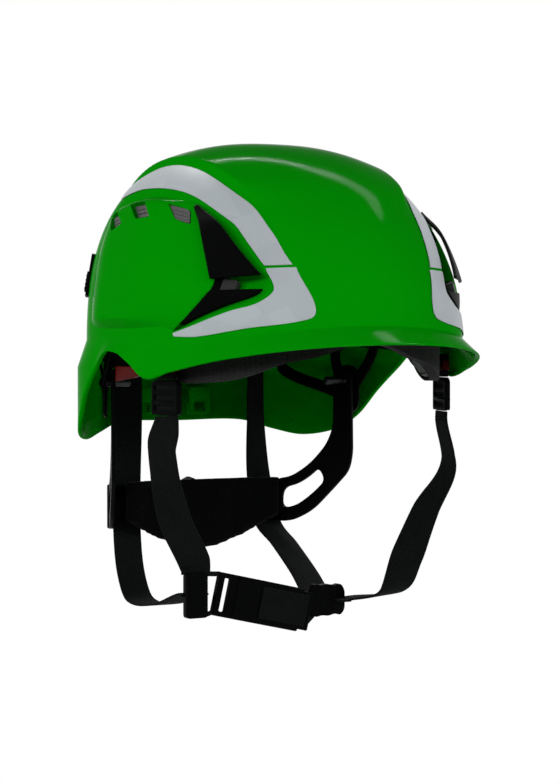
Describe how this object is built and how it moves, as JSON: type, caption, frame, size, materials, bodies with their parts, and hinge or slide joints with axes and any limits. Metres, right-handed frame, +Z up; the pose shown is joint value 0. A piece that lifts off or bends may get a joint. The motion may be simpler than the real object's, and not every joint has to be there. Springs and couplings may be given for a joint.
{
  "type": "forestry safety helmet",
  "caption": "Vented green safety helmet for tree work with reflective film, strap suspension, ratchet nape cradle and a buckled chin strap.",
  "frame": {"origin": "middle of the head opening, level with the lowest points of the shell's temples", "axes": "+Z up through the crown, -Y the way the wearer looks, -X the wearer's right"},
  "size_m": [0.2132, 0.261, 0.291],
  "materials": {
    "green_shell": "glossy moulded green plastic",
    "reflective_film": "silver-grey retroreflective film with a fine cell pattern",
    "black_moulding": "black semi-matt moulded plastic",
    "black_fitting": "black moulded plastic fittings",
    "grey_pad": "dark grey padded fabric",
    "black_pad": "black padded fabric",
    "black_webbing": "black woven webbing",
    "red_plastic": "red moulded plastic",
    "steel": "plain steel pins and screws"
  },
  "bodies": {
    "shell": {"accessory_socket_left": "black_moulding", "accessory_socket_right": "black_moulding", "brow_pad": "grey_pad", "buckle_female": "black_fitting", "chin_strap_tail": "black_webbing", "chin_web_right": "black_webbing", "cover_screw_lower": "steel", "cover_screw_upper": "steel", "crown_key_front": "black_fitting", "crown_key_left": "black_fitting", "crown_key_rear": "black_fitting", "crown_key_right": "black_fitting", "crown_pad": "grey_pad", "crown_strap_cross": "black_webbing", "crown_strap_long": "black_webbing", "hanger_key_front_left": "black_fitting", "hanger_key_front_right": "black_fitting", "hanger_key_middle_left": "black_fitting", "hanger_key_middle_right": "black_fitting", "hanger_key_rear_left": "black_fitting", "hanger_key_rear_right": "black_fitting", "headband_front": "black_moulding", "lamp_clip_left": "black_moulding", "lamp_clip_right": "black_moulding", "nape_pad": "black_pad", "pivot_pin_left": "steel", "pivot_pin_right": "steel", "ratchet_cover": "black_fitting", "ratchet_housing": "black_fitting", "reflective_strip_lower_left": "reflective_film", "reflective_strip_lower_right": "reflective_film", "reflective_strip_upper_left": "reflective_film", "reflective_strip_upper_right": "reflective_film", "shell": "green_shell", "side_hanger_left": "black_moulding", "side_hanger_right": "black_moulding", "strap_adjuster_left": "black_fitting", "strap_adjuster_right": "black_fitting", "strap_anchor_front_left": "red_plastic", "strap_anchor_front_right": "red_plastic", "strap_anchor_pin_left": "black_fitting", "strap_anchor_pin_right": "black_fitting", "strap_anchor_rear_left": "black_fitting", "strap_anchor_rear_right": "black_fitting", "strap_divider_right": "black_fitting", "strap_front_left": "black_webbing", "strap_front_right": "black_webbing", "strap_rear_left": "black_webbing", "strap_rear_right": "black_webbing", "vent_screen_left": "black_fitting", "vent_screen_right": "black_fitting"},
    "knob": {"ratchet_knob": "black_fitting", "ratchet_pinion": "black_fitting"},
    "arm_right": {"cradle_arm_right": "black_moulding"},
    "arm_left": {"cradle_arm_left": "black_moulding"},
    "buckle_male": {"buckle_male": "black_fitting", "chin_web_left": "black_webbing", "strap_divider_left": "black_fitting"},
    "prong_upper": {"release_prong_upper": "black_fitting"},
    "prong_lower": {"release_prong_lower": "black_fitting"}
  },
  "joints": [
    {"name": "knob_turn", "type": "hinge", "parent": "shell", "child": "knob", "pos_m": [0, 0.1042, -0.082], "axis": [0, 1, 0], "range_deg": [-20, 70]},
    {"name": "arm_right_slide", "type": "slide", "parent": "shell", "child": "arm_right", "axis": [1, 0, 0], "range_m": [-0.0019, 0.0066]},
    {"name": "arm_left_slide", "type": "slide", "parent": "shell", "child": "arm_left", "axis": [-1, 0, 0], "range_m": [-0.0019, 0.0066]},
    {"name": "buckle_pull", "type": "slide", "parent": "shell", "child": "buckle_male", "axis": [0.9744, 0, -0.225], "range_m": [0, 0.03], "deforming": ["strap_front_left", "strap_rear_left"]},
    {"name": "prong_upper_press", "type": "slide", "parent": "buckle_male", "child": "prong_upper", "axis": [-0.225, 0, -0.9744], "range_m": [0, 0.0022], "stiffness_N_per_m": 300},
    {"name": "prong_lower_press", "type": "slide", "parent": "buckle_male", "child": "prong_lower", "axis": [0.225, 0, 0.9744], "range_m": [0, 0.0022], "stiffness_N_per_m": 300}
  ],
  "couplings": [
    {"joint": "arm_right_slide", "follows": "knob_turn", "m_per_rad": 0.0054},
    {"joint": "arm_left_slide", "follows": "knob_turn", "m_per_rad": 0.0054}
  ]
}
